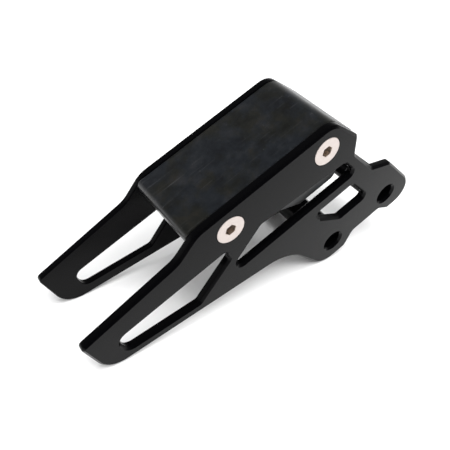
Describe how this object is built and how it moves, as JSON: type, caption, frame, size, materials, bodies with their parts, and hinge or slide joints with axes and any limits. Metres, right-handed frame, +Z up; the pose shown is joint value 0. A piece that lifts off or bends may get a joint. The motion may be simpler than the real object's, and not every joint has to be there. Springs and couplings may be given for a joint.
{
  "type": "rear chain guard",
  "caption": "Motorbike rear chain guard: chamfered aluminium side plates clamped on a rubber wear block, with spacer tubes at the swingarm mounting holes.",
  "frame": {"origin": "on the floor the part stands on, below the middle of its overall box", "axes": "+X towards the rear of the bike along the longest side, +Y across the part to the bike's left, +Z up"},
  "size_m": [0.1632, 0.04, 0.0777],
  "materials": {
    "plate": "black anodised, satin",
    "block": "moulded, matt to satin",
    "sleeve": "turned, zinc plated",
    "screw": "stainless, turned",
    "tube": "black anodised, satin"
  },
  "bodies": {
    "root": {"left_side_plate": "plate", "right_side_plate": "plate", "wear_block": "block", "front_threaded_sleeve": "sleeve", "rear_threaded_sleeve": "sleeve", "left_front_screw": "screw", "left_rear_screw": "screw", "right_front_screw": "screw", "right_rear_screw": "screw", "front_spacer_tube": "tube", "rear_spacer_tube": "tube"}
  },
  "joints": []
}
